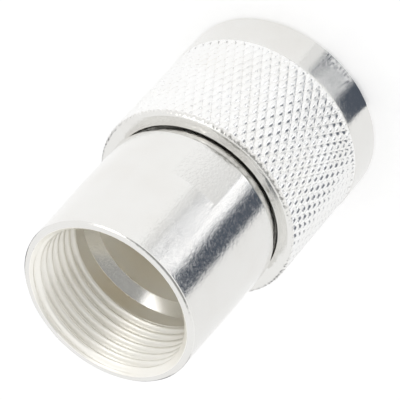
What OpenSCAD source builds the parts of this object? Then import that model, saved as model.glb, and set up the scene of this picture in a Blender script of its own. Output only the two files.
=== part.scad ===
// N type straight cable plug, clamp style, shown with its clamp nut taken off.
// It stands on the mating face of its coupling nut, with +Z towards the cable entry.
// Both screw threads are right-hand V grooves cut into bores of their minor diameter.

/* [Overall] */
// Height from the coupling nut's mating face to the cable entry
total_len = 32; // [30:0.5:38]

/* [Body] */
// Outside diameter of the body
body_d = 17.8; // [17.5:0.1:18]
// How far the outside draws in at the cable entry, on each side
entry_draw = 0.15; // [0.05:0.05:0.3]
// Length over which the outside draws in
entry_taper_len = 8; // [4:0.5:9]
// How far the entry thread's crests stand in from the thread relief, on each side
entry_thread_rise = 0.54; // [0.5:0.01:0.7]
// Pitch of the entry thread
entry_pitch = 1; // [0.9:0.05:1.2]
// Length of the entry thread, countersink included
entry_thread_len = 7.3; // [6:0.1:9]
// Wall left between the thread relief and the wrench flats
relief_wall = 0.57; // [0.5:0.01:0.9]
// Length of the thread relief
relief_len = 1.5; // [1:0.1:2.5]
// Height of the conical seat between the thread relief and the clamp bore
seat_drop = 1; // [0.8:0.1:1.5]
// Depth of the countersink at the entry
entry_sink = 0.64; // [0.4:0.02:0.7]
// Outer edge break at the entry
entry_edge = 0.15; // [0.1:0.05:0.3]
// Thickness of the web between the clamp bore and the neck bore
web_len = 4; // [3:0.1:5]
// Height of the bevel from the collar to the full diameter
shoulder_rise = 0.4; // [0.3:0.05:0.6]
// Length of the collar in front of the shoulder
collar_len = 1; // [0.8:0.1:1.4]
// How far the collar that enters the coupling nut stands out from the neck
collar_rise = 1; // [0.9:0.05:1.1]
// How far the collar reaches into the coupling nut
collar_entry = 0.2; // [0.1:0.05:0.4]
// Length of the neck
neck_len = 4.9; // [4.6:0.1:6]

/* [Wrench flats] */
// Depth of each wrench flat below the round
flat_depth = 0.33; // [0.2:0.01:0.38]
// Length of the flats along the body
flats_len = 5; // [4:0.1:6]

/* [Coupling nut] */
// Wall of the nut round the counterbore for the collar
nut_wall = 1.2; // [1:0.05:1.8]
// Length of the coupling nut
nut_len = 16.5; // [16:0.1:18]
// Height of the smooth band at the mating end
band_len = 4.2; // [3:0.1:6]
// How far the smooth band stands proud of the knurl
band_rise = 0.05; // [0:0.01:0.2]
// Edge break at both ends
nut_edge = 0.4; // [0.2:0.05:0.6]
// Inside diameter of the mating thread
nut_thread_d = 14.85; // [14.5:0.01:15]
// Pitch of the mating thread
nut_pitch = 1.058; // [1:0.001:1.1]
// Depth of the mating thread, lead-in included
nut_thread_len = 8.6; // [8:0.1:9]
// Depth of the lead-in at the mating face
nut_lead = 0.82; // [0.6:0.02:1]
// Depth of the relief behind the mating thread
nut_relief = 0.56; // [0.54:0.01:0.7]
// Clearance between the roots of a thread and the relief behind it
root_gap = 0.04; // [0.02:0.01:0.1]
// How far that relief runs past the front of the neck
nut_relief_past = 0.2; // [0.1:0.1:0.6]
// Depth of the counterbore round the body's collar
nut_recess_len = 1.1; // [0.8:0.1:1.4]
// Radial gap between the counterbore and the collar
nut_recess_gap = 0.55; // [0.4:0.05:0.7]

/* [Diamond knurl] */
// Diamonds round the nut
knurl_count = 66; // [40:2:72]
// Angle of the knurl's grooves from the axis
knurl_angle = 27; // [20:1:35]
// Depth of the grooves
knurl_depth = 0.28; // [0.1:0.02:0.35]

/* [Retaining ring] */
// Wire width of the retaining ring along the axis
ring_t = 1.1; // [0.8:0.1:1.2]
// Depth of the ring's groove in the neck
ring_groove = 0.95; // [0.7:0.05:1.1]
// Depth of the ring's groove in the nut
ring_catch = 0.95; // [0.7:0.05:1.1]
// Width of the gap in the ring
ring_gap = 2.4; // [1.5:0.1:4]
// Distance from the front of the neck to the ring
ring_set = 1.3; // [1.1:0.1:1.6]

/* [Gasket] */
// Radial clearance between the mating gasket and the nut's thread
gasket_gap = 0.22; // [0.1:0.02:0.5]
// Thickness of the mating gasket
gasket_t = 1.5; // [1:0.1:1.6]

/* [Outer contact] */
// Outside diameter of the contact sleeve
sleeve_d = 8.1; // [8:0.01:8.15]
// Wall of the contact sleeve
sleeve_wall = 0.55; // [0.5:0.01:0.6]
// Distance of the sleeve's tip behind the nut's mating face
sleeve_set = 0.9; // [0.5:0.1:1.5]
// How far the sleeve's foot inside the gasket stands out from the sleeve
foot_rise = 0.5; // [0.3:0.05:0.7]
// Diameter of the sleeve's spigot in the body
spigot_d = 10.6; // [10:0.1:11]
// Length of the spigot in the body
spigot_len = 3.5; // [3:0.1:3.8]
// Number of slots in the sleeve
slot_count = 4; // [2:1:6]
// Width of each slot
slot_w = 0.35; // [0.2:0.05:0.5]
// Length of each slot
slot_len = 6.5; // [4:0.1:8]
// Edge break at the tip of the sleeve
sleeve_edge = 0.2; // [0.1:0.05:0.3]

/* [Centre contact] */
// Diameter of the mating pin
pin_d = 1.65; // [1.6:0.01:1.68]
// Length of the mating pin
pin_len = 4.9; // [4:0.1:5.5]
// Diameter of the flat tip of the pin
pin_tip_d = 0.8; // [0.6:0.05:1]
// Length of the pin's tapered tip
pin_tip_len = 0.8; // [0.5:0.05:1.2]
// Distance of the pin's tip behind the tip of the sleeve
pin_set = 0.4; // [0.2:0.1:1]
// Diameter of the contact's shank
shank_d = 3.04; // [2.9:0.01:3.2]
// Diameter of the contact's locking collar
lock_d = 4.6; // [4.2:0.1:5]
// Length of the locking collar
lock_len = 1.2; // [0.8:0.1:1.6]
// Outside diameter of the solder cup
cup_d = 3.9; // [3.7:0.1:4]
// Length of the solder cup behind the locking collar
cup_len = 4.4; // [4:0.1:5]
// Diameter of the hole in the solder cup
cup_bore_d = 2.9; // [2.5:0.1:3]
// Depth of the hole in the solder cup
cup_bore_len = 3.6; // [3:0.1:4]
// Diameter of the inspection hole in the cup
cup_eye_d = 1; // [0.8:0.1:1.2]

/* [Insulators] */
// Diameter of both insulators inside the body
bead_d = 8.6; // [8.2:0.1:9]
// Length of the front insulator's flange
flange_len = 1.8; // [1.4:0.1:2.2]
// Length of the rear insulator
rear_bead_len = 2; // [1.6:0.1:2.4]
// Clearance round pieces that are pushed into one another
seat_gap = 0.03; // [0.02:0.01:0.05]
// Clearance round the neck inside the turning nut
turn_gap = 0.05; // [0.03:0.01:0.08]

/* [Hidden] */
$fn = 96;
thread_flank = 30;   // angle of a thread's flanks from square to the axis
thread_steps = 36;   // steps in a turn of thread
thread_over = 0.05;  // how far a thread's groove reaches inside its crests
cut = 1;  // how far a cutting shape runs past the piece

silver = [0.80, 0.79, 0.76];
spring_bronze = [0.72, 0.62, 0.42];
red_silicone = [0.75, 0.25, 0.18];
contact_silver = [0.83, 0.80, 0.70];
contact_gold = [0.85, 0.68, 0.30];
white_ptfe = [0.95, 0.95, 0.93];

// diameters, from the body inwards and from the collar outwards
entry_d = body_d - 2 * entry_draw;
flats_af = body_d - 2 * flat_depth;
relief_d = flats_af - 2 * relief_wall;
entry_thread_d = relief_d - 2 * entry_thread_rise;
entry_sink_d = entry_thread_d + 2 * entry_sink;
clamp_bore_d = relief_d - 2 * seat_drop;
collar_d = body_d - 2 * shoulder_rise;
neck_d = collar_d - 2 * collar_rise;
nut_recess_d = collar_d + 2 * nut_recess_gap;
nut_d = nut_recess_d + 2 * nut_wall;
nut_lead_d = nut_thread_d + 2 * nut_lead;
nut_relief_d = nut_thread_d + 2 * nut_relief;
gasket_d = nut_thread_d - 2 * gasket_gap;
sleeve_bore_d = sleeve_d - 2 * sleeve_wall;
foot_d = sleeve_d + 2 * foot_rise;

// heights along the axis
collar_z = nut_len - collar_entry;        // front of the collar, just inside the nut
shoulder_z = collar_z + collar_len;       // where the body widens from the collar
neck_z = collar_z - neck_len;             // front face of the body
relief_z = total_len - entry_thread_len;
seat_z = relief_z - relief_len;
bead_z = neck_z + spigot_len;             // front of the insulators' flange
floor_z = bead_z + web_len;               // floor of the clamp bore
flats_z = shoulder_z + shoulder_rise + flats_len;
ring_z = neck_z + ring_set;
gasket_z = neck_z - gasket_t;
pin_z = sleeve_set + pin_set;
shank_z = pin_z + pin_len;
lock_z = bead_z + flange_len - lock_len / 2;
cup_z = lock_z + lock_len;
rear_bead_z = bead_z + flange_len;

// diamond knurl
knurl_r = nut_d / 2;
knurl_step = 180 / knurl_count;                                       // half a diamond, in degrees
knurl_rise = PI * nut_d / knurl_count / tan(knurl_angle) / 2;         // half a diamond, along the axis
knurl_room = nut_len - nut_edge - band_len;
knurl_rows = floor(knurl_room / knurl_rise);

// The lattice's rows run from the band to the rear edge; the last one is the edge break.
function row_z(j) = j > knurl_rows + 1 ? nut_len
    : j > knurl_rows ? nut_len - nut_edge : band_len + j * knurl_rise;
function part_row(j) = j > knurl_rows ? (knurl_room - knurl_rows * knurl_rise) / knurl_rise : 1;
function is_crest(i, j) = (i + j) % 2 == 1;
function full_r(i, j) = knurl_r - (is_crest(i, j) ? 0 : knurl_depth);
function row_r(i, j) = j > knurl_rows + 1 ? knurl_r - nut_edge
    : j > knurl_rows ? full_r(i, j - 1) * (1 - part_row(j)) + full_r(i, j) * part_row(j)
    : full_r(i, j);
function lattice(i, j) =
    [row_r(i, j) * cos(i * knurl_step), row_r(i, j) * sin(i * knurl_step), row_z(j)];
// Each lattice cell is two triangles, split along the groove that crosses it.
function cell(a, b, c, d, along) = along ? [[a, b, c], [a, c, d]] : [[a, b, d], [b, c, d]];

module knurled_solid() {
    n = 2 * knurl_count;
    last = knurl_rows + 2;
    size = n * (last + 1);
    points = concat([for (j = [0:last], i = [0:n - 1]) lattice(i, j)],
        [[0, 0, row_z(0)], [0, 0, row_z(last)]]);
    sides = [for (j = [0:last - 1], i = [0:n - 1])
        let (k = (i + 1) % n)
        each cell(j * n + i, (j + 1) * n + i, (j + 1) * n + k, j * n + k, !is_crest(i, j))];
    ends = [for (i = [0:n - 1])
        let (k = (i + 1) % n)
        each [[i, k, size], [last * n + k, last * n + i, size + 1]]];
    polyhedron(points = points, faces = concat(sides, ends), convexity = 4);
}

// Right-hand screw groove of triangular section, its crests at radius r, over a range of heights.
module screw_groove(r, depth, pitch, low, high) {
    half = (depth + thread_over) * tan(thread_flank);
    n = ceil((high - low) / pitch * thread_steps);
    section = [[r - thread_over, -half], [r + depth, 0], [r - thread_over, half]];
    points = [for (i = [0:n], p = section)
        let (a = i * 360 / thread_steps)
        [p[0] * cos(a), p[0] * sin(a), low + i * pitch / thread_steps + p[1]]];
    sides = [for (i = [0:n - 1], k = [0:2])
        let (a = 3 * i + k, b = 3 * i + (k + 1) % 3)
        each [[a, b, a + 3], [b, b + 3, a + 3]]];
    polyhedron(points, concat(sides, [[2, 1, 0], [3 * n, 3 * n + 1, 3 * n + 2]]), convexity = 20);
}

// A turned solid from half its section.
module turned(section) rotate_extrude() polygon(section);

module nut_bore() turned([
    [0, -cut],
    [nut_lead_d / 2 + cut, -cut],
    [nut_thread_d / 2, nut_lead],
    [nut_thread_d / 2, nut_thread_len],
    [nut_relief_d / 2, nut_thread_len],
    [nut_relief_d / 2, neck_z + nut_relief_past],
    [neck_d / 2 + turn_gap, neck_z + nut_relief_past],
    [neck_d / 2 + turn_gap, nut_len - nut_recess_len],
    [nut_recess_d / 2, nut_len - nut_recess_len],
    [nut_recess_d / 2, nut_len + cut],
    [0, nut_len + cut]]);

// Groove for the retaining ring between two radii.
module ring_groove_cut(r_in, r_out) translate([0, 0, ring_z - turn_gap])
    difference() {
        cylinder(r = r_out, h = ring_t + 2 * turn_gap);
        translate([0, 0, -cut]) cylinder(r = r_in, h = ring_t + 2 * cut);
    }

module coupling_nut() color(silver) difference() {
    union() {
        turned([[0, 0], [knurl_r + band_rise - nut_edge, 0], [knurl_r + band_rise, nut_edge],
                [knurl_r + band_rise, band_len], [0, band_len]]);
        knurled_solid();
    }
    nut_bore();
    screw_groove(nut_thread_d / 2, nut_relief - root_gap, nut_pitch,
        -nut_pitch, nut_thread_len + nut_pitch / 2);
    ring_groove_cut(neck_d / 2 - cut, neck_d / 2 + turn_gap + ring_catch);
}

module body_outside() turned([
    [0, neck_z],
    [neck_d / 2, neck_z],
    [neck_d / 2, collar_z],
    [collar_d / 2, collar_z],
    [collar_d / 2, shoulder_z],
    [body_d / 2, shoulder_z + shoulder_rise],
    [body_d / 2, total_len - entry_taper_len],
    [entry_d / 2, total_len - entry_edge],
    [entry_d / 2 - entry_edge, total_len],
    [0, total_len]]);

module body_bore() turned([
    [0, neck_z - cut],
    [spigot_d / 2, neck_z - cut],
    [spigot_d / 2, bead_z],
    [bead_d / 2, bead_z],
    [bead_d / 2, floor_z],
    [clamp_bore_d / 2, floor_z],
    [clamp_bore_d / 2, seat_z - seat_drop],
    [relief_d / 2, seat_z],
    [relief_d / 2, relief_z],
    [entry_thread_d / 2, relief_z],
    [entry_thread_d / 2, total_len - entry_sink],
    [entry_sink_d / 2 + cut, total_len + cut],
    [0, total_len + cut]]);

module wrench_flats() for (side = [0, 180]) rotate(side)
    translate([-body_d / 2, flats_af / 2, shoulder_z])
        cube([body_d, body_d, flats_z - shoulder_z]);

module body() color(silver) difference() {
    body_outside();
    body_bore();
    screw_groove(entry_thread_d / 2, entry_thread_rise - root_gap, entry_pitch,
        relief_z - entry_pitch / 2, total_len + entry_pitch);
    wrench_flats();
    ring_groove_cut(neck_d / 2 - ring_groove, neck_d / 2 + cut);
}

module retaining_ring() color(spring_bronze) translate([0, 0, ring_z]) difference() {
    cylinder(r = neck_d / 2 + ring_catch - turn_gap, h = ring_t);
    translate([0, 0, -cut]) cylinder(r = neck_d / 2 - ring_groove + turn_gap, h = ring_t + 2 * cut);
    translate([0, -ring_gap / 2, -cut]) cube([neck_d, ring_gap, ring_t + 2 * cut]);
}

module mating_gasket() color(red_silicone) translate([0, 0, gasket_z]) difference() {
    cylinder(d = gasket_d, h = gasket_t);
    translate([0, 0, -cut]) cylinder(d = foot_d + 2 * seat_gap, h = gasket_t + 2 * cut);
}

module outer_contact() color(contact_silver) difference() {
    turned([
        [sleeve_bore_d / 2, sleeve_set],
        [sleeve_d / 2 - sleeve_edge, sleeve_set],
        [sleeve_d / 2, sleeve_set + sleeve_edge],
        [sleeve_d / 2, gasket_z],
        [foot_d / 2, gasket_z],
        [foot_d / 2, neck_z],
        [spigot_d / 2 - seat_gap, neck_z],
        [spigot_d / 2 - seat_gap, bead_z],
        [sleeve_bore_d / 2, bead_z]]);
    for (i = [0:slot_count - 1]) rotate((i + 0.5) * 360 / slot_count)
        translate([0, -slot_w / 2, sleeve_set - cut])
            cube([sleeve_d, slot_w, slot_len + cut]);
}

module centre_contact() color(contact_gold) difference() {
    turned([
        [0, pin_z],
        [pin_tip_d / 2, pin_z],
        [pin_d / 2, pin_z + pin_tip_len],
        [pin_d / 2, shank_z],
        [shank_d / 2, shank_z],
        [shank_d / 2, lock_z],
        [lock_d / 2, lock_z],
        [lock_d / 2, cup_z],
        [cup_d / 2, cup_z],
        [cup_d / 2, cup_z + cup_len],
        [0, cup_z + cup_len]]);
    translate([0, 0, cup_z + cup_len - cup_bore_len]) cylinder(d = cup_bore_d, h = cup_bore_len + cut);
    translate([0, 0, cup_z + cup_len - cup_bore_len + cup_eye_d])
        rotate([90, 0, 0]) cylinder(d = cup_eye_d, h = cup_d);
}

module front_insulator() color(white_ptfe) difference() {
    turned([
        [shank_d / 2 + seat_gap, shank_z],
        [sleeve_bore_d / 2 - seat_gap, shank_z],
        [sleeve_bore_d / 2 - seat_gap, bead_z],
        [bead_d / 2 - seat_gap, bead_z],
        [bead_d / 2 - seat_gap, rear_bead_z],
        [shank_d / 2 + seat_gap, rear_bead_z]]);
    translate([0, 0, lock_z]) cylinder(d = lock_d + 2 * seat_gap, h = lock_len);
}

module rear_insulator() color(white_ptfe) difference() {
    translate([0, 0, rear_bead_z]) cylinder(d = bead_d - 2 * seat_gap, h = rear_bead_len);
    translate([0, 0, rear_bead_z - cut]) cylinder(d = cup_d + 2 * seat_gap, h = rear_bead_len + 2 * cut);
    translate([0, 0, lock_z]) cylinder(d = lock_d + 2 * seat_gap, h = lock_len);
}

body();
coupling_nut();
retaining_ring();
mating_gasket();
outer_contact();
centre_contact();
front_insulator();
rear_insulator();
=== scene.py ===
"""Dresses the N type cable plug: turned and knurled silver plate, gold pin, PTFE and silicone.

Shapes are worked out in millimetres and scaled to metres when a piece is finished.
"""
import logging
import math
from dataclasses import dataclass, field
from enum import Enum

import bmesh
import bpy
from mathutils import Matrix, Vector


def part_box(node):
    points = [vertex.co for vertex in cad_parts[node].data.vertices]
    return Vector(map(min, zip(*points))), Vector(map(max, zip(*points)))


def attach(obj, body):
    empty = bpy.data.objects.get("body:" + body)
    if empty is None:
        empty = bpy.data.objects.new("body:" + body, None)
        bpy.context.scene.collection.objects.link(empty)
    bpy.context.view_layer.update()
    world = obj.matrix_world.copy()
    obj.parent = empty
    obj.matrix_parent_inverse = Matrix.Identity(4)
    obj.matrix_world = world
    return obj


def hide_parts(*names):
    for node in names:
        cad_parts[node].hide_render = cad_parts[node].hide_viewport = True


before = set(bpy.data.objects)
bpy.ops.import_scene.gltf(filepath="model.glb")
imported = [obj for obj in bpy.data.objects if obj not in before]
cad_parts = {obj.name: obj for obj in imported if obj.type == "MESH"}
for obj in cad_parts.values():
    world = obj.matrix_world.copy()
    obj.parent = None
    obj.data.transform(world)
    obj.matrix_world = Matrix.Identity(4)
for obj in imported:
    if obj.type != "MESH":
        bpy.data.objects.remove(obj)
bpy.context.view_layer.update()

LOG = logging.getLogger("plug")
MM = 0.001
FULL_TURN = 2 * math.pi
RING = 192  # steps round a turned piece
SPARE = 1.0  # how far a cutting block runs past the piece, in millimetres
NEAR = 0.01  # how close two radii are that count as one, in millimetres
SOFT_ANGLE = 50.0  # the angle past which an edge stays sharp on a threaded shell, in degrees


# ---------------------------------------------------------------- shader maths

class Node(Enum):
    """Shader nodes that the finishes use."""

    COORDINATES = "ShaderNodeTexCoord"
    NOISE = "ShaderNodeTexNoise"
    WAVE = "ShaderNodeTexWave"
    MATH = "ShaderNodeMath"
    VECTOR = "ShaderNodeVectorMath"
    MIX = "ShaderNodeMix"
    BUMP = "ShaderNodeBump"
    RANGE = "ShaderNodeMapRange"
    SPLIT = "ShaderNodeSeparateXYZ"
    JOIN = "ShaderNodeCombineXYZ"
    LIGHT_PATH = "ShaderNodeLightPath"
    EMISSION = "ShaderNodeEmission"
    BACKGROUND = "ShaderNodeBackground"
    SHADER = "ShaderNodeBsdfPrincipled"
    OUTPUT = "ShaderNodeOutputMaterial"
    WORLD_OUTPUT = "ShaderNodeOutputWorld"


class Wire:
    """A node's output, on which plain arithmetic adds Math nodes."""

    def __init__(self, graph: "Graph", socket: bpy.types.NodeSocket) -> None:
        """Wraps a socket.

        Args:
            graph: The graph that the socket belongs to.
            socket: The output socket.
        """
        self.graph = graph
        self.socket = socket

    def _math(self, operation: str, *values: "Wire | float") -> "Wire":
        """Adds one Math node with these values and gives its output."""
        return self.graph.add(Node.MATH, {"operation": operation}, dict(enumerate(values)))

    def __add__(self, other: "Wire | float") -> "Wire":
        """This value plus another."""
        return self._math("ADD", self, other)

    __radd__ = __add__

    def __sub__(self, other: "Wire | float") -> "Wire":
        """This value less another."""
        return self._math("SUBTRACT", self, other)

    def __rsub__(self, other: "Wire | float") -> "Wire":
        """Another value less this one."""
        return self._math("SUBTRACT", other, self)

    def __mul__(self, other: "Wire | float") -> "Wire":
        """This value times another."""
        return self._math("MULTIPLY", self, other)

    __rmul__ = __mul__

    def larger(self, other: "Wire | float") -> "Wire":
        """The larger of this value and another."""
        return self._math("MAXIMUM", self, other)

    def fit_line(self, low: float, high: float, to_low: float, to_high: float) -> "Wire":
        """This value moved evenly from one range to another."""
        return (self - low) * ((to_high - to_low) / (high - low)) + to_low

    def fit(self, low: float, high: float, to_low: float = 0.0, to_high: float = 1.0) -> "Wire":
        """This value moved smoothly from one range to another.

        Args:
            low: The value that becomes to_low.
            high: The value that becomes to_high.
            to_low: The result for low.
            to_high: The result for high.

        Returns:
            The clamped result.
        """
        return self.graph.add(Node.RANGE, {"interpolation_type": "SMOOTHSTEP"},
                              {"Value": self, "From Min": low, "From Max": high,
                               "To Min": to_low, "To Max": to_high})


class Graph:
    """The node tree of a material or of the world."""

    def __init__(self, tree: bpy.types.NodeTree) -> None:
        """Empties the tree.

        Args:
            tree: The tree to fill.
        """
        self.tree = tree
        tree.nodes.clear()

    def add(self, kind: Node, settings: dict | None = None, inputs: dict | None = None,
            output: int | str = 0) -> Wire | None:
        """Adds a node.

        Args:
            kind: The kind of node.
            settings: The node's own properties, which are set first.
            inputs: A value or a wire for each input, by name or number.
            output: The output to give back.

        Returns:
            The chosen output, or None where the node has no outputs.
        """
        node = self.tree.nodes.new(kind.value)
        for name, value in (settings or {}).items():
            setattr(node, name, value)
        for name, value in (inputs or {}).items():
            if isinstance(value, Wire):
                self.tree.links.new(value.socket, node.inputs[name])
            else:
                node.inputs[name].default_value = value
        return Wire(self, node.outputs[output]) if node.outputs else None

    def place(self) -> Wire:
        """The point on the object, in metres."""
        return self.add(Node.COORDINATES, output="Object")

    def height_only(self, place: Wire) -> Wire:
        """A point with its height alone, for marks that run round the axis."""
        height = self.add(Node.SPLIT, None, {0: place}, output="Z")
        return self.add(Node.JOIN, None, {"Z": height})

    def stretch(self, place: Wire, scale: tuple[float, float, float]) -> Wire:
        """A point with each of its parts multiplied."""
        return self.add(Node.VECTOR, {"operation": "MULTIPLY"}, {0: place, 1: scale})

    def noise(self, scale: float, detail: float = 2.0, at: Wire | None = None) -> Wire:
        """Cloudy noise from 0 to 1.

        Args:
            scale: Clouds in a metre.
            detail: How many finer layers it has.
            at: Where it is read, or the object's own point.

        Returns:
            The noise.
        """
        return self.add(Node.NOISE, None, {"Vector": at or self.place(), "Scale": scale,
                                           "Detail": detail})

    def blend(self, share: Wire | float, low: tuple | Wire, high: tuple | Wire) -> Wire:
        """A colour between two colours.

        Args:
            share: 0 for the first, 1 for the second.
            low: The first colour.
            high: The second colour.

        Returns:
            The colour.
        """
        return self.add(Node.MIX, {"data_type": "RGBA"},
                        {0: share, 6: low if isinstance(low, Wire) else (*low, 1.0),
                         7: high if isinstance(high, Wire) else (*high, 1.0)}, output=2)

    def bump(self, height: Wire, depth: float, over: Wire | None = None) -> Wire:
        """Relief from a height.

        Args:
            height: The height, from 0 to 1.
            depth: How deep a height of 1 is, in metres.
            over: The relief that this one lies on.

        Returns:
            The normal.
        """
        inputs = {"Height": height, "Distance": depth}
        if over:
            inputs["Normal"] = over
        return self.add(Node.BUMP, None, inputs)


# ---------------------------------------------------------------- finishes

@dataclass(frozen=True)
class Finish:
    """What every finish has: a name and a way to make its material."""

    name: str

    def dress(self, graph: Graph) -> dict:
        """The shader's inputs, by name."""
        raise NotImplementedError

    def material(self) -> bpy.types.Material:
        """Makes the material, or finds it if it was made before.

        Returns:
            The material.
        """
        found = bpy.data.materials.get(self.name)
        if found:
            return found
        made = bpy.data.materials.new(self.name)
        made.use_nodes = True
        graph = Graph(made.node_tree)
        shader = graph.add(Node.SHADER, None, self.dress(graph))
        graph.add(Node.OUTPUT, None, {"Surface": shader})
        return made


@dataclass(frozen=True)
class SilverPlate(Finish):
    """Electroplated silver over turned brass, with its frosted grain and tool marks."""

    tone: tuple[float, float, float] = (0.825, 0.82, 0.80)
    tarnish: tuple[float, float, float] = (0.805, 0.795, 0.77)
    metallic: float = 1.0
    roughness: float = 0.13
    grain_roughness: float = 0.10
    clouds_per_m: float = 260.0
    grain_per_mm: float = 3.6
    grain_um: float = 20.0
    fine_ratio: float = 2.7
    fine_share: float = 0.25
    tool_marks_per_mm: float = 12.0
    tool_mark_um: float = 0.25

    def dress(self, graph: Graph) -> dict:
        """Grain, tool marks round the axis and a faint cloudy tarnish.

        Args:
            graph: The material's graph.

        Returns:
            The shader's inputs, by name.
        """
        place = graph.place()
        clouds = graph.noise(self.clouds_per_m, 3.0, place)
        grain = graph.noise(self.grain_per_mm / MM, 3.0, place)
        fine = graph.noise(self.fine_ratio * self.grain_per_mm / MM, 1.0, place)
        marks = graph.noise(self.tool_marks_per_mm / MM, 2.0, graph.height_only(place))
        turned = graph.bump(marks, self.tool_mark_um * 1e-6)
        relief = grain * (1.0 - self.fine_share) + fine * self.fine_share
        return {
            "Base Color": graph.blend(clouds.fit(0.35, 0.75), self.tone, self.tarnish),
            "Metallic": self.metallic,
            "Roughness": self.roughness + self.grain_roughness * grain.fit(0.4, 0.7),
            "Normal": graph.bump(relief, self.grain_um * 1e-6, over=turned),
        }


@dataclass(frozen=True)
class KnurledSilver(SilverPlate):
    """Silver plate on the knurl, with painted shade darkening the pits where the grooves cross.
    """

    pit_shade_tone: tuple[float, float, float] = (0.16, 0.155, 0.15)
    unshaded_radius: float = 10.0
    full_shade_radius: float = 9.93

    def dress(self, graph: Graph) -> dict:
        """The plate's own inputs, with painted shade that darkens them near the bottom of the
        pits.

        Args:
            graph: The material's graph.

        Returns:
            The shader's inputs, by name.
        """
        inputs = super().dress(graph)
        flat = graph.stretch(graph.place(), (1.0, 1.0, 0.0))
        radius = graph.add(Node.VECTOR, {"operation": "LENGTH"}, {0: flat}, output="Value")
        # painted shade: below the unshaded radius the colour darkens towards the pit tone, fully
        # at the deepest radius
        pit_shade = radius.fit(self.full_shade_radius * MM, self.unshaded_radius * MM, 1.0, 0.0)
        inputs["Base Color"] = graph.blend(pit_shade, inputs["Base Color"], self.pit_shade_tone)
        return inputs


@dataclass(frozen=True)
class GoldPlate(Finish):
    """Gold plating on the turned contact."""

    tone: tuple[float, float, float] = (0.93, 0.76, 0.45)
    worn: tuple[float, float, float] = (0.88, 0.70, 0.40)
    roughness: float = 0.18
    cloud_roughness: float = 0.10
    clouds_per_m: float = 900.0
    tool_marks_per_mm: float = 16.0
    tool_mark_um: float = 0.4

    def dress(self, graph: Graph) -> dict:
        """A faint cloud of deeper gold and fine tool marks.

        Args:
            graph: The material's graph.

        Returns:
            The shader's inputs, by name.
        """
        place = graph.place()
        clouds = graph.noise(self.clouds_per_m, 2.0, place)
        marks = graph.noise(self.tool_marks_per_mm / MM, 2.0, graph.height_only(place))
        return {
            "Base Color": graph.blend(clouds, self.tone, self.worn),
            "Metallic": 1.0,
            "Roughness": self.roughness + self.cloud_roughness * clouds,
            "Normal": graph.bump(marks, self.tool_mark_um * 1e-6),
        }


@dataclass(frozen=True)
class Bronze(Finish):
    """Bright spring bronze of the retaining ring."""

    tone: tuple[float, float, float] = (0.78, 0.58, 0.36)
    stain: tuple[float, float, float] = (0.55, 0.38, 0.22)
    roughness: float = 0.25
    cloud_roughness: float = 0.15
    clouds_per_m: float = 1400.0
    grain_per_mm: float = 15.0
    grain_um: float = 0.8

    def dress(self, graph: Graph) -> dict:
        """Drawn metal with a light stain.

        Args:
            graph: The material's graph.

        Returns:
            The shader's inputs, by name.
        """
        clouds = graph.noise(self.clouds_per_m, 4.0)
        grain = graph.noise(self.grain_per_mm / MM, 2.0)
        return {
            "Base Color": graph.blend(clouds.fit(0.5, 0.8), self.tone, self.stain),
            "Metallic": 1.0,
            "Roughness": self.roughness + self.cloud_roughness * clouds,
            "Normal": graph.bump(grain, self.grain_um * 1e-6),
        }


@dataclass(frozen=True)
class Ptfe(Finish):
    """White PTFE, faintly waxy, with the lathe's marks on its faces."""

    tone: tuple[float, float, float] = (0.86, 0.86, 0.83)
    shade: tuple[float, float, float] = (0.80, 0.79, 0.75)
    roughness: float = 0.42
    cloud_roughness: float = 0.1
    clouds_per_m: float = 700.0
    rings_per_mm: float = 1.6
    ring_stir: float = 0.3
    ring_um: float = 1.5
    wax: float = 0.15
    wax_reach: tuple[float, float, float] = (0.0008, 0.0008, 0.0007)

    def dress(self, graph: Graph) -> dict:
        """A milky surface with rings from the tool.

        Args:
            graph: The material's graph.

        Returns:
            The shader's inputs, by name.
        """
        place = graph.place()
        clouds = graph.noise(self.clouds_per_m, 3.0, place)
        rings = graph.add(Node.WAVE, {"wave_type": "RINGS", "rings_direction": "Z"},
                          {"Vector": place, "Scale": self.rings_per_mm / MM,
                           "Distortion": self.ring_stir})
        return {
            "Base Color": graph.blend(clouds, self.tone, self.shade),
            "Roughness": self.roughness + self.cloud_roughness * clouds,
            "Normal": graph.bump(rings, self.ring_um * 1e-6),
            "Subsurface Weight": self.wax,
            "Subsurface Radius": self.wax_reach,
            "Subsurface Scale": 1.0,
        }


@dataclass(frozen=True)
class Silicone(Finish):
    """Moulded silicone rubber of the mating gasket."""

    tone: tuple[float, float, float] = (0.60, 0.10, 0.045)
    dusty: tuple[float, float, float] = (0.66, 0.17, 0.10)
    roughness: float = 0.5
    cloud_roughness: float = 0.15
    clouds_per_m: float = 1100.0
    grain_per_mm: float = 9.0
    grain_um: float = 3.0

    def dress(self, graph: Graph) -> dict:
        """A soft sheen with a bloom of dust.

        Args:
            graph: The material's graph.

        Returns:
            The shader's inputs, by name.
        """
        clouds = graph.noise(self.clouds_per_m, 4.0)
        grain = graph.noise(self.grain_per_mm / MM, 2.0)
        return {
            "Base Color": graph.blend(clouds.fit(0.45, 0.75), self.tone, self.dusty),
            "Roughness": self.roughness + self.cloud_roughness * clouds,
            "Normal": graph.bump(grain, self.grain_um * 1e-6),
        }


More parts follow.
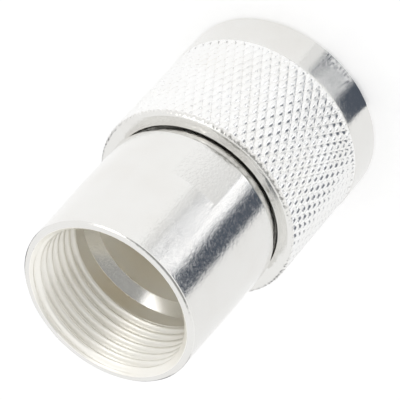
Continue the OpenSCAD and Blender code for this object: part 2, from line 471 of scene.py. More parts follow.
OUTER_SILVER = SilverPlate("silver_outside")
# The knurl's silver, with painted shade in its pits
KNURL_SILVER = KnurledSilver("silver_knurl", tone=(0.95, 0.95, 0.945),
                             tarnish=(0.93, 0.925, 0.91), roughness=0.18, grain_um=5.0)
# The bore's silver: a warmer tone, and brighter than the outside plate as painted light in the
# deep bore
LIT_BORE_SILVER = SilverPlate("silver_bore_lit", tone=(1.0, 0.985, 0.93), tarnish=(0.99, 0.965, 0.90),
                          metallic=0.66, roughness=0.32, grain_per_mm=7.0, grain_um=0.4)
SEAT_SILVER = SilverPlate("silver_seat", tone=(0.93, 0.92, 0.90), tarnish=(0.91, 0.90, 0.87),
                          roughness=0.14, grain_per_mm=7.0, grain_um=0.5)
CONTACT_SILVER = SilverPlate("silver_contact", tone=(0.92, 0.91, 0.88), roughness=0.14,
                             grain_per_mm=7.0, grain_um=1.0)
CONTACT_GOLD = GoldPlate("gold_contact")
SPRING_BRONZE = Bronze("spring_bronze")
WHITE_PTFE = Ptfe("white_ptfe")
RED_SILICONE = Silicone("silicone_rubber")


# ---------------------------------------------------------------- mesh tools

@dataclass(frozen=True)
class Thread:
    """An internal screw thread with rounded crests and roots."""

    pitch: float
    minor: float
    major: float
    mouth: float
    mouth_steps: int = 8
    points: int = 10
    offset: float = 0.0013

    def section(self) -> list[tuple[float, float]]:
        """Radius and height of the corners of one pitch, from the middle of a crest."""
        depth = self.major - self.minor
        return [(self.minor + depth * math.sin(math.pi * step / self.points) ** 2,
                 self.pitch * step / self.points + self.offset) for step in range(self.points)]


def shade(work: bmesh.types.BMesh, angle: float) -> None:
    """Shades a mesh smooth, apart from its sharp edges.

    Args:
        work: The mesh.
        angle: The angle past which an edge stays sharp, in degrees.
    """
    limit = math.radians(angle)
    for edge in work.edges:
        edge.smooth = not (len(edge.link_faces) == 2 and edge.calc_face_angle(0.0) > limit)
    for face in work.faces:
        face.smooth = True


class Turning:
    """A mesh in the making, in millimetres, turned round the Z axis."""

    def __init__(self) -> None:
        """Starts an empty mesh."""
        self.mesh = bmesh.new()

    def line(self, points: list[tuple[float, float]], closed: bool = False) -> list:
        """Draws a half section.

        Args:
            points: Radius and height of each corner.
            closed: Whether the last corner joins the first.

        Returns:
            Its vertices and edges.
        """
        verts = [self.mesh.verts.new((r, 0.0, z)) for r, z in points]
        ends = verts[1:] + ([verts[0]] if closed else [])
        edges = [self.mesh.edges.new(pair) for pair in zip(verts, ends)]
        return verts + edges

    def turn(self, points: list[tuple[float, float]], closed: bool = False,
             steps: int = RING) -> None:
        """Turns a half section into a full round.

        Args:
            points: Radius and height of each corner.
            closed: Whether the section is a closed ring.
            steps: Steps in the turn.
        """
        bmesh.ops.spin(self.mesh, geom=self.line(points, closed), cent=(0, 0, 0),
                       axis=(0, 0, 1), dvec=(0, 0, 0), angle=FULL_TURN, steps=steps,
                       use_merge=True, use_duplicate=False)
        self.merge()

    def screw(self, groove: list[tuple[float, float]], pitch: float, low: float,
              high: float) -> None:
        """Cuts a screw thread between two heights, open at both ends.

        Args:
            groove: Radius and height of the corners of one pitch.
            pitch: The thread's pitch.
            low: The lowest height.
            high: The highest height.
        """
        first = math.floor(low / pitch) - 2
        count = math.ceil((high - low) / pitch) + 4
        points = [(r, (first + turn) * pitch + z) for turn in range(count) for r, z in groove]
        bmesh.ops.spin(self.mesh, geom=self.line(points), cent=(0, 0, 0), axis=(0, 0, 1),
                       dvec=(0, 0, pitch / RING), angle=FULL_TURN, steps=RING,
                       use_merge=False, use_duplicate=False)
        self.merge()
        self.slice(low, clear=-1)
        self.slice(high, clear=1)

    def thread(self, cut: "Thread", low: float, high: float, mouth: float) -> None:
        """Adds a screw thread between the open rims at two heights, opened out at its mouth.

        Args:
            cut: The thread's form.
            low: The lower rim's height.
            high: The upper rim's height.
            mouth: The height of the mouth, which is one of the two.
        """
        part = Turning()
        part.screw(cut.section(), cut.pitch, low, high)
        inwards = 1 if mouth == low else -1
        depth = cut.mouth - cut.minor
        for step in range(1, cut.mouth_steps):
            part.slice(mouth + inwards * depth * step / cut.mouth_steps)
        for vert in part.mesh.verts:
            part.reach(vert, least=cut.mouth - abs(vert.co.z - mouth))
        self.take(part, "thread")
        self.bridge(low)
        self.bridge(high)

    def slice(self, height: float, clear: int = 0) -> None:
        """Cuts every face at a height.

        Args:
            height: The height.
            clear: 1 to throw away what is above, -1 what is below, 0 to keep both.
        """
        bmesh.ops.bisect_plane(self.mesh, geom=self.everything(), dist=1e-5,
                               plane_co=(0, 0, height), plane_no=(0, 0, clear or 1),
                               clear_outer=bool(clear))

    @staticmethod
    def reach(vert: bmesh.types.BMVert, least: float = 0.0, most: float = math.inf) -> None:
        """Moves a vertex towards or away from the axis until it is within two radii.

        Args:
            vert: The vertex.
            least: The least radius.
            most: The greatest radius.
        """
        now = math.hypot(vert.co.x, vert.co.y)
        share = min(max(now, least), most) / now
        vert.co.x *= share
        vert.co.y *= share

    def take(self, part: "Turning", name: str) -> None:
        """Moves another mesh into this one.

        Args:
            part: The other mesh, which is freed.
            name: A name for it on the way.
        """
        data = bpy.data.meshes.new(name)
        part.mesh.to_mesh(data)
        part.mesh.free()
        self.mesh.from_mesh(data)
        bpy.data.meshes.remove(data)

    def everything(self) -> list:
        """All of the mesh's vertices, edges and faces."""
        return [*self.mesh.verts, *self.mesh.edges, *self.mesh.faces]

    def merge(self) -> None:
        """Joins vertices that lie together."""
        bmesh.ops.remove_doubles(self.mesh, verts=self.mesh.verts, dist=1e-4)

    def rims(self, height: float) -> list:
        """The open edges at a height."""
        return [e for e in self.mesh.edges if e.is_boundary
                and all(abs(v.co.z - height) < 1e-3 for v in e.verts)]

    def bridge(self, height: float) -> None:
        """Joins the two open rims at a height."""
        bmesh.ops.bridge_loops(self.mesh, edges=self.rims(height))

    def soften(self, width: float, least: float = 25.0, segments: int = 2) -> None:
        """Rounds the sharp edges of a turned shape.

        Args:
            width: How far the round reaches from the edge.
            least: The least angle of an edge that is rounded, in degrees.
            segments: Steps across the round.
        """
        limit = math.radians(least)
        edges = [e for e in self.mesh.edges if len(e.link_faces) == 2
                 and e.calc_face_angle(0.0) > limit]
        bmesh.ops.bevel(self.mesh, geom=edges, offset=width, offset_type="OFFSET",
                        affect="EDGES", segments=segments, profile=0.5, material=-1,
                        clamp_overlap=True)

    def outward(self) -> None:
        """Turns every face outwards."""
        bmesh.ops.recalc_face_normals(self.mesh, faces=self.mesh.faces)

    def finish(self, name: str, sharp: float = 30.0) -> bpy.types.Object:
        """Makes the object, in metres, with its sharp edges marked.

        Args:
            name: The object's name.
            sharp: The angle past which an edge stays sharp, in degrees.

        Returns:
            The object.
        """
        shade(self.mesh, sharp)
        bmesh.ops.scale(self.mesh, vec=(MM, MM, MM), verts=self.mesh.verts)
        data = bpy.data.meshes.new(name)
        self.mesh.to_mesh(data)
        self.mesh.free()
        made = bpy.data.objects.new(name, data)
        bpy.context.scene.collection.objects.link(made)
        return made


def cut_away(piece: bpy.types.Object, tool: bpy.types.Object) -> None:
    """Cuts one closed shape out of another for good.

    Args:
        piece: The shape that is cut.
        tool: The shape that is taken away, which is deleted.
    """
    cut = piece.modifiers.new("cut", "BOOLEAN")
    cut.operation = "DIFFERENCE"
    cut.solver = "EXACT"
    cut.object = tool
    bpy.context.view_layer.update()
    graph = bpy.context.evaluated_depsgraph_get()
    solid = bpy.data.meshes.new_from_object(piece.evaluated_get(graph))
    piece.modifiers.clear()
    old = piece.data
    piece.data = solid
    bpy.data.meshes.remove(old)
    bpy.data.objects.remove(tool)


def blocks(name: str, boxes: list[tuple[Vector, Vector, float]]) -> bpy.types.Object:
    """Boxes that cut slots and flats.

    Args:
        name: The object's name.
        boxes: The lowest corner, the highest corner and the turn round Z of each, in millimetres.

    Returns:
        The object.
    """
    work = Turning()
    for low, high, turn in boxes:
        made = bmesh.ops.create_cube(work.mesh, size=1.0)["verts"]
        bmesh.ops.scale(work.mesh, vec=high - low, verts=made)
        bmesh.ops.translate(work.mesh, vec=(high + low) / 2, verts=made)
        bmesh.ops.rotate(work.mesh, cent=(0, 0, 0), matrix=Matrix.Rotation(turn, 3, "Z"),
                         verts=made)
    return work.finish(name)


def mark_sharp(piece: bpy.types.Object, angle: float = 30.0) -> None:
    """Marks an object's sharp edges again after it was cut.

    Args:
        piece: The object.
        angle: The angle past which an edge stays sharp, in degrees.
    """
    work = bmesh.new()
    work.from_mesh(piece.data)
    shade(work, angle)
    work.to_mesh(piece.data)
    work.free()


def span(node: str) -> tuple[float, float, float]:
    """A CAD node's lowest and highest points and its greatest radius, in millimetres."""
    low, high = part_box(node)
    return low.z / MM, high.z / MM, high.x / MM


# ---------------------------------------------------------------- the pieces

@dataclass
class Piece:
    """What every piece has: the CAD node that it stands for, its body and its slot."""

    node: str
    body: str
    slot: str
    finish: Finish

    def build(self) -> bpy.types.Object:
        """Models the piece."""
        raise NotImplementedError

    def dress(self, made: bpy.types.Object) -> None:
        """Gives the piece its finish."""
        made.data.materials.clear()
        made.data.materials.append(self.finish.material())

    def make(self) -> bpy.types.Object:
        """Builds and dresses the piece, attaches it to its body and hides its CAD node.

        Returns:
            The finished object.
        """
        made = self.build()
        even = made.modifiers.new("even_normals", "WEIGHTED_NORMAL")
        even.mode = "FACE_AREA"
        even.keep_sharp = True
        self.dress(made)
        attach(made, self.body)
        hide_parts(self.node)
        LOG.info("%s stands for %s with %d faces", made.name, self.node, len(made.data.polygons))
        return made


@dataclass
class BodyShell(Piece):
    """The turned body: threaded cable entry, conical seat, neck and wrench flats."""

    edge: float = 0.2
    edge_round: float = 0.06
    entry_radius: float = 8.75
    taper_length: float = 8.0
    sink_radius: float = 8.13
    entry: Thread = Thread(pitch=1.0, minor=7.46, major=7.96, mouth=8.1)
    thread_length: float = 7.3
    relief_radius: float = 8.0
    relief_length: float = 1.5
    seat_drop: float = 1.0
    clamp_radius: float = 7.0
    web: float = 4.0
    bead_radius: float = 4.3
    spigot_radius: float = 5.3
    spigot_length: float = 3.5
    neck_radius: float = 7.5
    neck_length: float = 4.9
    collar_radius: float = 8.5
    collar_length: float = 1.0
    shoulder_rise: float = 0.4
    ring_set: float = 1.25
    ring_width: float = 1.2
    ring_depth: float = 0.95
    flat_half: float = 8.57
    flat_length: float = 5.0

    def build(self) -> bpy.types.Object:
        """Turns the body, cuts its thread and mills its flats.

        Returns:
            The body.
        """
        front, top, radius = span(self.node)
        collar = front + self.neck_length
        shoulder = collar + self.collar_length
        full = shoulder + self.shoulder_rise
        relief = top - self.thread_length
        seat = relief - self.relief_length
        bead = front + self.spigot_length
        groove = front + self.ring_set
        deep = self.neck_radius - self.ring_depth
        work = Turning()
        work.turn([
            (self.sink_radius, top),
            (self.entry_radius - self.edge, top),
            (self.entry_radius, top - self.edge),
            (radius, top - self.taper_length),
            (radius, full),
            (self.collar_radius, shoulder),
            (self.collar_radius, collar),
            (self.neck_radius, collar),
            (self.neck_radius, groove + self.ring_width),
            (deep, groove + self.ring_width),
            (deep, groove),
            (self.neck_radius, groove),
            (self.neck_radius, front),
            (self.spigot_radius, front),
            (self.spigot_radius, bead),
            (self.bead_radius, bead),
            (self.bead_radius, bead + self.web),
            (self.clamp_radius, bead + self.web),
            (self.clamp_radius, seat - self.seat_drop),
            (self.relief_radius, seat),
            (self.relief_radius, relief)])
        work.soften(self.edge_round)
        work.thread(self.entry, relief, top, mouth=top)
        work.outward()
        made = work.finish("body_shell", sharp=SOFT_ANGLE)
        big = radius + SPARE
        reach = Vector((big, big, full + self.flat_length))
        mill = blocks("mill", [(Vector((-big, self.flat_half, shoulder)), reach, turn)
                               for turn in (0.0, math.pi)])
        cut_away(made, mill)
        mark_sharp(made, SOFT_ANGLE)
        return made

    def dress(self, made: bpy.types.Object) -> None:
        """Bright plate outside, and inside the bore a warmer plate, made brighter than the
        outside plate as painted light.

        Args:
            made: The body.
        """
        made.data.materials.clear()
        for finish in (self.finish, LIT_BORE_SILVER, SEAT_SILVER):
            made.data.materials.append(finish.material())
        front, top, _ = span(self.node)
        seat = top - self.thread_length - self.relief_length
        for face in made.data.polygons:
            centre = face.center / MM
            reach = math.hypot(centre.x, centre.y)
            if reach > self.clamp_radius and seat - self.seat_drop < centre.z < seat:
                face.material_index = 2 if reach < self.relief_radius else 0
            elif reach < self.sink_radius + NEAR and centre.z > front + self.spigot_length:
                face.material_index = 1


@dataclass
class CouplingNut(Piece):
    """The coupling nut: diamond knurl, smooth band and mating thread.

    The lip at the rear recess's mouth is a form of this script alone: the CAD node has a plain
    recess. The groove for the retaining ring is in the CAD node alone.
    """

    diamonds: int = 66
    diamond_angle: float = 27.0
    pit_depth: float = 0.28
    groove_depth: float = 0.17
    groove_width: float = 0.2
    crown: float = 0.1
    cuts: int = 3
    run_out: float = 0.25
    band_length: float = 4.2
    band_rise: float = 0.05
    knurl_least: float = 9.0
    edge: float = 0.4
    edge_round: float = 0.07
    lip_radius: float = 9.7
    lip_edge: float = 0.1
    lip_height: float = 0.4
    mouth_radius: float = 8.61
    recess_radius: float = 9.05
    recess_length: float = 1.1
    bore_radius: float = 7.55
    mating: Thread = Thread(pitch=1.058, minor=7.425, major=7.945, mouth=8.25)
    thread_length: float = 8.6
    lead_radius: float = 8.28
    relief_radius: float = 7.985
    relief_past: float = 0.2
    neck_front: float = 11.4

    def build(self) -> bpy.types.Object:
        """Turns the nut inside and out and rolls its knurl.

        Returns:
            The nut.
        """
        low, top, outer = span(self.node)
        relief_end = self.neck_front + self.relief_past
        recess = top - self.recess_length
        work = Turning()
        work.turn([
            (self.lead_radius, low),
            (outer - self.edge, low),
            (outer, low + self.edge),
            (outer, low + self.band_length - self.band_rise),
            (outer - self.band_rise, low + self.band_length)])
        work.turn([
            (self.lip_radius, top),
            (self.mouth_radius + self.lip_edge, top),
            (self.mouth_radius, top - self.lip_edge),
            (self.mouth_radius, top - self.lip_height),
            (self.recess_radius, top - self.lip_height),
            (self.recess_radius, recess),
            (self.bore_radius, recess),
            (self.bore_radius, relief_end),
            (self.relief_radius, relief_end),
            (self.relief_radius, self.thread_length)])
        work.soften(self.edge_round)
        work.thread(self.mating, low, self.thread_length, mouth=low)
        self.knurl(work, low + self.band_length, top, outer - self.band_rise)
        work.outward()
        return work.finish("nut_shell", sharp=SOFT_ANGLE)

    def knurl(self, work: Turning, low: float, high: float, radius: float) -> None:
        """Rolls crowned diamonds between V grooves round the nut, joined to its open rims.

        Args:
            work: The nut so far, open where the knurl goes.
            low: Where the knurl starts.
            high: Where it ends.
            radius: The radius over the diamonds.
        """
        wide = FULL_TURN / self.diamonds
        tall = wide * radius / math.tan(math.radians(self.diamond_angle))
        rows = math.ceil((high - low) / tall) + 1
        part = Turning()
        part.turn([(radius, low + row * tall) for row in range(-1, rows + 1)],
                  steps=self.diamonds)
        mesh = part.mesh
        sides = [e for e in mesh.edges if not e.is_boundary]
        bmesh.ops.poke(mesh, faces=mesh.faces)
        bmesh.ops.dissolve_edges(mesh, edges=sides, use_verts=False)
        lattice = set(mesh.verts)
        bmesh.ops.inset_individual(mesh, faces=mesh.faces, thickness=self.groove_width / 2,
                                   depth=0.0, use_even_offset=True)
        level = [e for e in mesh.edges
                 if len(lattice.intersection(e.verts)) != 1]
        bmesh.ops.subdivide_edges(mesh, edges=level, cuts=self.cuts, use_grid_fill=True)
        for vert in mesh.verts:
            turn = math.atan2(vert.co.y, vert.co.x) / wide
            climb = (vert.co.z - low) / tall
            across = self.from_middle(turn + climb)
            along = self.from_middle(turn - climb)
            deep = self.crown * (1 - (1 - across ** 2) * (1 - along ** 2))
            if max(across, along) > 0.99:
                deep = self.groove_depth + ((self.pit_depth - self.groove_depth)
                                            * min(across, along) ** 3)
            part.reach(vert, least=radius - deep, most=radius - deep)
        part.slice(low, clear=-1)
        part.slice(low + self.run_out)
        part.slice(high - self.edge)
        part.slice(high, clear=1)
        for vert in mesh.verts:
            part.reach(vert, least=radius - (vert.co.z - low) * self.pit_depth / self.run_out,
                       most=radius - (vert.co.z - high + self.edge))
        work.take(part, "knurl")
        work.bridge(low)
        work.bridge(high)

    @staticmethod
    def from_middle(turns: float) -> float:
        """How far a point is from the middle of its diamond: 0 there and 1 in a groove."""
        return abs((turns + 0.5) % 1.0 - 0.5) * 2

    def dress(self, made: bpy.types.Object) -> None:
        """Knurled plate outside, with painted shade in its pits, and inside the bore's plate,
        brightened as painted light.

        Args:
            made: The nut.
        """
        made.data.materials.clear()
        for finish in (self.finish, KNURL_SILVER, LIT_BORE_SILVER):
            made.data.materials.append(finish.material())
        low, top, _ = span(self.node)
        knurl = (low + self.band_length, top - self.edge)
        for face in made.data.polygons:
            centre = face.center / MM
            reach = math.hypot(centre.x, centre.y)
            if reach < self.lead_radius:
                face.material_index = 2
            elif knurl[0] < centre.z < knurl[1] and reach > self.knurl_least:
                face.material_index = 1


@dataclass
class RetainingRing(Piece):
    """The split bronze ring that holds the nut on the neck."""

    wall: float = 1.8
    gap: float = 2.4
    edge_round: float = 0.15

    def build(self) -> bpy.types.Object:
        """Turns the ring and cuts its gap.

        Returns:
            The ring.
        """
        low, high, radius = span(self.node)
        inner = radius - self.wall
        work = Turning()
        work.turn([(inner, low), (radius, low), (radius, high), (inner, high)], closed=True)
        work.soften(self.edge_round, segments=3)
        work.outward()
        made = work.finish("split_ring")
        near = Vector((0.0, -self.gap / 2, low - SPARE))
        far = Vector((radius + SPARE, self.gap / 2, high + SPARE))
        cut_away(made, blocks("saw", [(near, far, 0.0)]))
        mark_sharp(made)
        return made


@dataclass
class MatingGasket(Piece):
    """The silicone gasket that seals the mated pair."""

    bore_radius: float = 4.58
    edge_round: float = 0.3

    def build(self) -> bpy.types.Object:
        """Moulds the gasket with rounded edges.

        Returns:
            The gasket.
        """
        low, high, radius = span(self.node)
        work = Turning()
        work.turn([(self.bore_radius, low), (radius, low), (radius, high),
                   (self.bore_radius, high)], closed=True)
        work.soften(self.edge_round, segments=4)
        work.outward()
        return work.finish("gasket_ring")


@dataclass
class OuterContact(Piece):
    """The slotted silver sleeve that touches the mating socket."""

    sleeve_radius: float = 4.05
    bore_radius: float = 3.5
    foot_radius: float = 4.55
    gasket_low: float = 9.9
    neck_front: float = 11.4
    slots: int = 4
    slot_width: float = 0.35
    slot_length: float = 6.5
    saw_reach: tuple[float, float] = (1.0, 6.0)
    edge: float = 0.2
    edge_round: float = 0.05

    def build(self) -> bpy.types.Object:
        """Turns the sleeve and saws its slots.

        Returns:
            The sleeve.
        """
        low, high, spigot = span(self.node)
        work = Turning()
        work.turn([
            (self.bore_radius, low),
            (self.sleeve_radius - self.edge, low),
            (self.sleeve_radius, low + self.edge),
            (self.sleeve_radius, self.gasket_low),
            (self.foot_radius, self.gasket_low),
            (self.foot_radius, self.neck_front),
            (spigot, self.neck_front),
            (spigot, high),
            (self.bore_radius, high)], closed=True)
        work.soften(self.edge_round)
        work.outward()
        made = work.finish("contact_sleeve")
        half = self.slot_width / 2
        near = Vector((self.saw_reach[0], -half, low - SPARE))
        far = Vector((self.saw_reach[1], half, low + self.slot_length))
        step = FULL_TURN / self.slots
        cut_away(made, blocks("saw", [(near, far, (number + 0.5) * step)
                                      for number in range(self.slots)]))
        mark_sharp(made)
        return made


@dataclass
class CentreContact(Piece):
    """The gold contact: mating pin, shank, locking collar and solder cup."""

    pin_radius: float = 0.825
    tip_radius: float = 0.4
    tip_length: float = 0.8
    pin_length: float = 4.9
    shank_radius: float = 1.52
    lock_low: float = 16.1
    lock_length: float = 1.2
    lock_radius: float = 2.3
    cup_radius: float = 1.95
    cup_bore: float = 1.45
    cup_depth: float = 3.6
    cup_point: float = 0.4
    eye: float = 1.0
    edge_round: float = 0.06
    turn_steps: int = 96

    def build(self) -> bpy.types.Object:
        """Turns the contact, bores its cup and drills its eye.

        Returns:
            The contact.
        """
        low, high, _ = span(self.node)
        shank = low + self.pin_length
        lock_high = self.lock_low + self.lock_length
        floor = high - self.cup_depth
        work = Turning()
        work.turn([
            (0.0, low),
            (self.tip_radius, low),
            (self.pin_radius, low + self.tip_length),
            (self.pin_radius, shank),
            (self.shank_radius, shank),
            (self.shank_radius, self.lock_low),
            (self.lock_radius, self.lock_low),
            (self.lock_radius, lock_high),
            (self.cup_radius, lock_high),
            (self.cup_radius, high),
            (self.cup_bore, high),
            (self.cup_bore, floor),
            (0.0, floor - self.cup_point)], steps=self.turn_steps)
        work.soften(self.edge_round, segments=3)
        work.outward()
        made = work.finish("pin_and_cup")
        drill = Turning()
        bmesh.ops.create_cone(drill.mesh, cap_ends=True, segments=32, radius1=self.eye / 2,
                              radius2=self.eye / 2, depth=2 * self.cup_radius)
        bmesh.ops.rotate(drill.mesh, cent=(0, 0, 0), matrix=Matrix.Rotation(math.pi / 2, 3, "X"),
                         verts=drill.mesh.verts)
        bmesh.ops.translate(drill.mesh, vec=(0, -self.cup_radius, floor + self.eye),
                            verts=drill.mesh.verts)
        cut_away(made, drill.finish("drill"))
        mark_sharp(made)
        return made


@dataclass
class Insulator(Piece):
    """A turned PTFE bead round the centre contact."""

    steps: list[tuple[float, float]] = field(default_factory=list)
    bore_radius: float = 1.55
    edge_round: float = 0.1
    turn_steps: int = 128

    def build(self) -> bpy.types.Object:
        """Turns the bead from its outer steps, each a radius and the height where it ends.

        Returns:
            The bead.
        """
        low, high, _ = span(self.node)
        section = [(self.bore_radius, low)]
        start = low
        for radius, end in self.steps:
            section += [(radius, start), (radius, end)]
            start = end
        section.append((self.bore_radius, high))
        work = Turning()
        work.turn(section, closed=True, steps=self.turn_steps)
        work.soften(self.edge_round)
        work.outward()
        return work.finish(self.node + "_bead")


# ---------------------------------------------------------------- the stage

@dataclass(frozen=True)
class Card:
    """A sheet that hangs round the plug, faces it, and that only reflections see.

    Its centre gives a direction by three parts: ahead, aside and up, as the stage names them.
    Its width is level, and both measures are in metres.
    """

    name: str
    centre: tuple[float, float, float]
    width: float
    height: float
    tone: tuple[float, float, float]
    strength: float = 1.0


@dataclass(frozen=True)
class FanShades:
    """How the fan before the plug is shaded.

    Angles round the plug are in degrees and depths are shares of the fan's reach. Each range
    is where one tone gives way to the next, and noise is a stretch of the fan's own points.
    """

    pale: tuple[float, float, float] = (0.88, 0.88, 0.88)
    ramp: tuple[float, float] = (-3.5, 0.5)
    dull: tuple[float, float, float] = (0.12, 0.135, 0.16)
    bright: tuple[float, float, float] = (1.5, 1.5, 1.52)
    bright_near: tuple[float, float, float] = (0.86, 0.87, 0.89)
    brighten: tuple[float, float] = (-3.5, 8.0)
    brighten_by: tuple[float, float] = (-0.05, 0.03)
    mottle: tuple[float, float] = (0.46, 0.50)
    coarse: tuple[float, float, float] = (24.0, 18.0, 1.0)
    fine: tuple[float, float, float] = (110.0, 150.0, 1.0)
    slate: tuple[float, float, float] = (0.09, 0.105, 0.135)
    dusk: tuple[float, float] = (15.5, 21.0)
    light: tuple[float, float, float] = (0.96, 0.96, 0.96)
    dawn: tuple[float, float] = (32.0, 33.5)
    band: tuple[float, float, float] = (0.95, 0.95, 0.95)
    band_start: tuple[float, float] = (0.09, 0.14)
    band_end: tuple[float, float] = (0.27, 0.31)


DARK_CARD = Card("dark_card", (0.62, 0.26, 0.66), 0.44, 0.14, (0.34, 0.34, 0.33))
SOFT_BOX = Card("soft_box", (0.43, -0.62, 0.66), 0.12, 0.12, (1.0, 0.99, 0.97), 2.0)


@dataclass
class Stage:
    """White floor, white surroundings, cards that only reflections see, and the camera.

    Ahead is the level direction towards the camera and aside is the one to the camera's left.
    Places are in metres, but the near fan's measures are in millimetres.
    """

    lens: float = 270.0
    sensor: float = 36.0
    clip: tuple[float, float] = (0.01, 5.0)
    camera_place: tuple[float, float, float] = (-0.02506, -0.2041, 0.1993)
    camera_right: tuple[float, float, float] = (-0.7971, -0.3472, -0.494)
    camera_down: tuple[float, float, float] = (-0.5969, 0.5759, 0.5586)
    ahead: Vector = field(default_factory=lambda: Vector((-0.1219, -0.9925, 0.0)))
    aside: Vector = field(default_factory=lambda: Vector((-0.9925, 0.1219, 0.0)))
    floor_half: float = 1.5
    floor_drop: float = 0.00002
    floor_tone: float = 0.82
    floor_roughness: float = 0.9
    floor_glow: float = 0.34
    world_level: float = 0.88
    shades: FanShades = FanShades()
    fan_start: float = -8.0
    fan_end: float = 80.0
    fan_near: float = 9.6
    fan_reach: float = 48.0
    fan_lift: float = 0.00003
    far_turn: float = 180.0
    far_spread: float = 110.0
    far_near: float = 0.06
    far_reach: float = 0.24
    far_lift: float = 0.00004
    far_stripes: float = 9.0
    far_mottle: tuple[float, float] = (0.42, 0.58)
    far_dark: tuple[float, float, float] = (0.06, 0.065, 0.075)
    far_light: tuple[float, float, float] = (0.80, 0.80, 0.80)
    card_distance: float = 0.26
    card_middle: float = 0.02

    def floor(self) -> None:
        """Lays the floor: white where it is looked at, apart from the shadow."""
        work = bmesh.new()
        bmesh.ops.create_grid(work, x_segments=8, y_segments=8, size=self.floor_half)
        made = self.place("floor", work)
        made.location.z = -self.floor_drop
        graph = self.paint(made, "floor_white")
        glow = self.floor_glow * self.seen(graph)
        shader = graph.add(Node.SHADER, None, {"Base Color": (*[self.floor_tone] * 3, 1.0),
                                               "Roughness": self.floor_roughness,
                                               "Emission Color": (1.0, 1.0, 1.0, 1.0),
                                               "Emission Strength": glow})
        graph.add(Node.OUTPUT, None, {"Surface": shader})

    def place(self, name: str, work: bmesh.types.BMesh) -> bpy.types.Object:
        """Makes a stage object from a mesh.

        Args:
            name: The object's name.
            work: Its mesh, which is freed.

        Returns:
            The object.
        """
        data = bpy.data.meshes.new(name)
        work.to_mesh(data)
        work.free()
        made = bpy.data.objects.new(name, data)
        bpy.context.scene.collection.objects.link(made)
        return made

    @staticmethod
    def seen(graph: Graph) -> Wire:
        """Tells where the camera, a reflection or a refraction looks.

        Args:
            graph: The graph to add the test to.

        Returns:
            1 where one of them looks, else 0.
        """
        node = graph.add(Node.LIGHT_PATH).socket.node
        camera, glossy, through = (Wire(graph, node.outputs[f"Is {kind} Ray"])
                                   for kind in ("Camera", "Glossy", "Transmission"))
        return camera.larger(glossy).larger(through)

    @staticmethod
    def paint(made: bpy.types.Object, name: str) -> Graph:
        """Starts a stage object's material.

        Args:
            made: The object.
            name: The material's name.

        Returns:
            Its graph.
        """
        paint = bpy.data.materials.new(name)
        paint.use_nodes = True
        made.data.materials.append(paint)
        return Graph(paint.node_tree)

    @staticmethod
    def light_card(made: bpy.types.Object, graph: Graph, tone: Wire | tuple,
                   strength: float = 1.0) -> None:
        """Gives a card its light, and hides it from all but reflections.

        Args:
            made: The card.
            graph: Its material's graph.
            tone: Its colour.
            strength: How bright it is.
        """
        glow = graph.add(Node.EMISSION, None, {"Color": tone, "Strength": strength})
        graph.add(Node.OUTPUT, None, {"Surface": glow})
        made.visible_camera = False
        made.visible_diffuse = False
        made.visible_shadow = False
        made.visible_transmission = False
        made.visible_volume_scatter = False

    @staticmethod
    def fan_grid(across: int, along: int) -> bmesh.types.BMesh:
        """A unit grid about the origin, with UVs from 0 to 1, to be bent into a fan.

        Args:
            across: Faces round the fan.
            along: Faces from its near to its far edge.

        Returns:
            The grid.
        """
        work = bmesh.new()
        work.loops.layers.uv.new("UVMap")
        bmesh.ops.create_grid(work, x_segments=across, y_segments=along, size=0.5, calc_uvs=True)
        return work

    def toward(self, turn: float) -> Vector:
        """The level direction at an angle from the camera's side."""
        return self.ahead * math.cos(turn) + self.aside * math.sin(turn)

    def near_fan(self) -> None:
        """Lays a fan on the floor, from pale to slate, which the upright walls mirror."""
        work = self.fan_grid(88, 24)
        for vert in work.verts:
            turn = math.radians(self.fan_start
                                + (vert.co.x + 0.5) * (self.fan_end - self.fan_start))
            reach = (vert.co.y + 0.5) * self.fan_reach
            spot = self.toward(turn) * self.fan_near + self.toward(2 * turn) * reach
            vert.co = (spot.x * MM, spot.y * MM, self.fan_lift)
        made = self.place("floor_card", work)
        graph = self.paint(made, "slate_fan")
        self.light_card(made, graph, self.fan_tone(graph))

    def fan_tone(self, graph: Graph) -> Wire:
        """Shades the fan before the plug: pale, mottled, slate and light, with a plain band.

        Args:
            graph: The fan's graph.

        Returns:
            Its colour.
        """
        look = self.shades
        spot = graph.add(Node.COORDINATES, output="UV")
        share = graph.add(Node.SPLIT, None, {0: spot}, "X")
        depth = graph.add(Node.SPLIT, None, {0: spot}, "Y")
        turned = share.fit_line(0.0, 1.0, self.fan_start, self.fan_end)
        past_start = depth.fit(*look.band_start)
        before_end = depth.fit(*look.band_end, 1.0, 0.0)
        coarse = graph.noise(1.0, 1.0, graph.stretch(spot, look.coarse))
        fine = graph.noise(1.0, 1.0, graph.stretch(spot, look.fine))
        blobs = fine + past_start * (coarse - fine)
        mottle = (blobs + turned.fit(*look.brighten, *look.brighten_by)).fit(*look.mottle)
        bright = graph.blend(past_start, look.bright_near, look.bright)
        tone = graph.blend(turned.fit(*look.ramp), look.pale,
                           graph.blend(mottle, look.dull, bright))
        tone = graph.blend(turned.fit(*look.dusk), tone, look.slate)
        tone = graph.blend(turned.fit(*look.dawn), tone, look.light)
        return graph.blend(past_start * before_end, tone, look.band)

    def far_fan(self) -> None:
        """Lays a striped grey fan on the floor behind the plug, which the rounded rims mirror."""
        work = self.fan_grid(48, 8)
        for vert in work.verts:
            turn = math.radians(self.far_turn + vert.co.x * self.far_spread)
            spot = self.toward(turn) * (self.far_near + (vert.co.y + 0.5) * self.far_reach)
            vert.co = (spot.x, spot.y, self.far_lift)
        made = self.place("far_card", work)
        graph = self.paint(made, "grey_fan")
        share = graph.add(Node.SPLIT, None, {0: graph.add(Node.COORDINATES, output="UV")}, "X")
        stripes = graph.noise(self.far_stripes, 1.0, graph.add(Node.JOIN, None, {"X": share}))
        tone = graph.blend(stripes.fit(*self.far_mottle), self.far_dark, self.far_light)
        self.light_card(made, graph, tone)

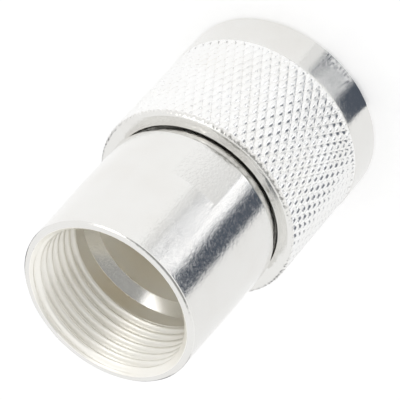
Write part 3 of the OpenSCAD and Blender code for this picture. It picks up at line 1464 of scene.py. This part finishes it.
    def hang(self, card: Card) -> None:
        """Hangs a card so that it faces the plug.

        Args:
            card: The card.
        """
        ahead, aside, up = card.centre
        away = (self.ahead * ahead + self.aside * aside + Vector((0, 0, up))).normalized()
        level = away.cross(Vector((0, 0, 1))).normalized()
        rise = level.cross(away)
        work = bmesh.new()
        bmesh.ops.create_grid(work, x_segments=1, y_segments=1, size=0.5)
        for vert in work.verts:
            vert.co = (away * self.card_distance + level * vert.co.x * card.width
                       + rise * vert.co.y * card.height + Vector((0, 0, self.card_middle)))
        made = self.place(card.name, work)
        self.light_card(made, self.paint(made, card.name + "_paint"), (*card.tone, 1.0),
                        card.strength)

    def world(self) -> None:
        """Surrounds the plug with plain white, a little dimmer where nothing looks."""
        world = bpy.data.worlds.new("white")
        bpy.context.scene.world = world
        world.use_nodes = True
        graph = Graph(world.node_tree)
        level = self.world_level + (1.0 - self.world_level) * self.seen(graph)
        back = graph.add(Node.BACKGROUND, None, {"Color": (1.0, 1.0, 1.0, 1.0),
                                                 "Strength": level})
        graph.add(Node.WORLD_OUTPUT, None, {"Surface": back})

    def camera(self) -> None:
        """Looks down at the cable entry from above and to one side."""
        lens = bpy.data.cameras.new("camera")
        lens.lens = self.lens
        lens.sensor_width = self.sensor
        lens.clip_start, lens.clip_end = self.clip
        made = bpy.data.objects.new("camera", lens)
        right = Vector(self.camera_right).normalized()
        up = -Vector(self.camera_down).normalized()
        back = right.cross(up).normalized()
        up = back.cross(right).normalized()
        turn = Matrix((right, up, back)).transposed().to_4x4()
        made.matrix_world = Matrix.Translation(Vector(self.camera_place)) @ turn
        bpy.context.scene.collection.objects.link(made)
        bpy.context.scene.camera = made

    def build(self) -> None:
        """Sets up everything round the plug."""
        self.floor()
        self.world()
        self.near_fan()
        self.far_fan()
        self.hang(DARK_CARD)
        self.hang(SOFT_BOX)
        self.camera()
        bpy.context.scene.view_settings.view_transform = "Standard"


def main() -> None:
    """Builds every piece in order and reports it."""
    logging.basicConfig(level=logging.INFO, format="%(message)s")
    Stage().build()
    pieces: list[Piece] = [
        BodyShell("body", "plug", "silver_body", OUTER_SILVER),
        CouplingNut("coupling_nut", "nut", "silver_nut", OUTER_SILVER),
        RetainingRing("retaining_ring", "plug", "spring_bronze", SPRING_BRONZE),
        MatingGasket("mating_gasket", "plug", "silicone_rubber", RED_SILICONE),
        OuterContact("outer_contact", "plug", "silver_contact", CONTACT_SILVER),
        CentreContact("centre_contact", "plug", "gold_contact", CONTACT_GOLD),
        Insulator("front_insulator", "plug", "ptfe", WHITE_PTFE,
                  steps=[(3.47, 14.9), (4.27, 16.7)]),
        Insulator("rear_insulator", "plug", "ptfe", WHITE_PTFE, steps=[(4.27, 18.7)],
                  bore_radius=1.98),
    ]
    for piece in pieces:
        piece.make()


if __name__ == "__main__":
    main()
